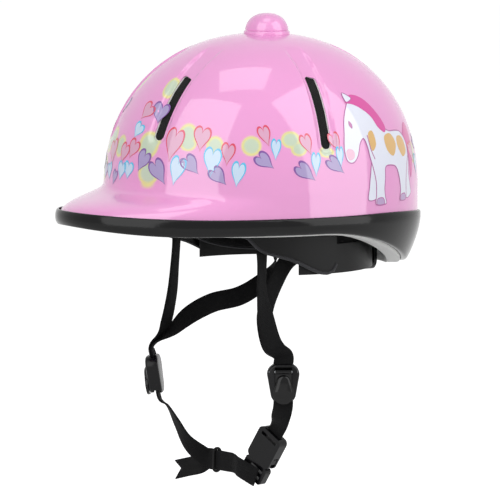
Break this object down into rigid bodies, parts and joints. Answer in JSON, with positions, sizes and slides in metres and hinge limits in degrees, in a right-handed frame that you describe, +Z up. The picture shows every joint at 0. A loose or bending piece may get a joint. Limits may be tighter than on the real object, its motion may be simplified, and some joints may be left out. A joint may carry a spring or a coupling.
{
  "type": "riding helmet",
  "caption": "Child's riding helmet with peaked shell, foam liner, dial-fit cradle and a webbing harness with cam dividers and a side-release buckle.",
  "frame": {"origin": "centre of the head opening, level with the trim's lower edge at the sides", "axes": "+Z up to the crown, -Y towards the peak, +X to the wearer's left"},
  "size_m": [0.2094, 0.2962, 0.3617],
  "materials": {
    "pink_abs": "gloss clear coat over printed ABS",
    "black_trim": "glossy moulded",
    "white_foam": "expanded bead foam",
    "vent_mesh": "open knitted mesh",
    "steel": "zinc plated",
    "pad_fabric": "brushed knit over foam",
    "hook_tape": "hook tape",
    "webbing": "ribbed polyester webbing",
    "rubber_ring": "matt",
    "black_nylon": "satin moulded",
    "black_acetal": "satin moulded"
  },
  "bodies": {
    "helmet": {"outer_shell": "pink_abs", "edge_trim": "black_trim", "foam_liner": "white_foam", "crown_button": "pink_abs", "button_screw": "steel", "button_washer": "steel", "front_left_mesh": "vent_mesh", "front_right_mesh": "vent_mesh", "side_left_mesh": "vent_mesh", "side_right_mesh": "vent_mesh", "rear_left_mesh": "vent_mesh", "rear_right_mesh": "vent_mesh", "anchor_plates": "black_nylon", "anchor_rivets": "steel", "brow_band": "black_nylon", "band_pins": "black_nylon", "dial_housing": "black_acetal", "dial_cover": "black_acetal", "brow_pad": "pad_fabric", "crown_pad": "pad_fabric", "left_side_pad": "pad_fabric", "right_side_pad": "pad_fabric", "nape_pad": "pad_fabric", "hook_dots": "hook_tape", "left_front_strap": "webbing", "left_rear_strap": "webbing", "left_lower_strap": "webbing", "right_front_strap": "webbing", "right_rear_strap": "webbing", "chin_strap": "webbing", "strap_tail": "webbing", "left_divider_body": "black_acetal", "left_divider_pin": "steel", "right_divider_body": "black_acetal", "right_divider_pin": "steel", "buckle_socket": "black_acetal"},
    "left_lever": {"left_divider_lever": "black_acetal"},
    "right_lever": {"right_divider_lever": "black_acetal"},
    "plug": {"buckle_plug": "black_acetal"},
    "left_prong": {"plug_left_prong": "black_acetal"},
    "right_prong": {"plug_right_prong": "black_acetal"},
    "dial": {"dial_knob": "black_acetal", "dial_pinion": "black_acetal", "dial_screw": "steel"},
    "left_belt": {"left_belt": "black_nylon"},
    "right_belt": {"right_belt": "black_nylon"},
    "keeper": {"keeper_ring": "rubber_ring"}
  },
  "joints": [
    {"name": "left_lever_hinge", "type": "hinge", "parent": "helmet", "child": "left_lever", "pos_m": [0.0648, -0.01802, -0.107], "axis": [-0.4695, -0.8829, 0], "range_deg": [0, 95]},
    {"name": "right_lever_hinge", "type": "hinge", "parent": "helmet", "child": "right_lever", "pos_m": [-0.05632, -0.0664, -0.10969], "axis": [-0.7986, 0.6018, 0], "range_deg": [0, 95]},
    {"name": "buckle_slide", "type": "slide", "parent": "helmet", "child": "plug", "axis": [-0.515, -0.1773, -0.8387], "range_m": [0, 0.022], "deforming": ["chin_strap", "strap_tail"]},
    {"name": "left_prong_squeeze", "type": "hinge", "parent": "plug", "child": "left_prong", "pos_m": [0.03552, -0.01595, -0.18087], "axis": [0.3256, -0.9455, 0], "range_deg": [0, 7], "stiffness_Nm_per_rad": 0.02},
    {"name": "right_prong_squeeze", "type": "hinge", "parent": "plug", "child": "right_prong", "pos_m": [0.02568, -0.01933, -0.17412], "axis": [-0.3256, 0.9455, 0], "range_deg": [0, 7], "stiffness_Nm_per_rad": 0.02},
    {"name": "dial_turn", "type": "hinge", "parent": "helmet", "child": "dial", "pos_m": [0, 0.086, -0.022], "axis": [0, -1, 0], "range_deg": [0, 180]},
    {"name": "left_belt_travel", "type": "hinge", "parent": "helmet", "child": "left_belt", "pos_m": [0, 0.008, -0.022], "axis": [0, 0, 1], "range_deg": [0, 12.2]},
    {"name": "right_belt_travel", "type": "hinge", "parent": "helmet", "child": "right_belt", "pos_m": [0, 0.008, -0.022], "axis": [0, 0, -1], "range_deg": [0, 12.2]},
    {"name": "keeper_ring_slide", "type": "slide", "parent": "helmet", "child": "keeper", "axis": [-0.985, -0.1712, 0.0235], "range_m": [-0.004, 0.004]}
  ],
  "couplings": [
    {"joint": "left_belt_travel", "follows": "dial_turn", "ratio": 0.067097},
    {"joint": "right_belt_travel", "follows": "dial_turn", "ratio": 0.067097}
  ]
}
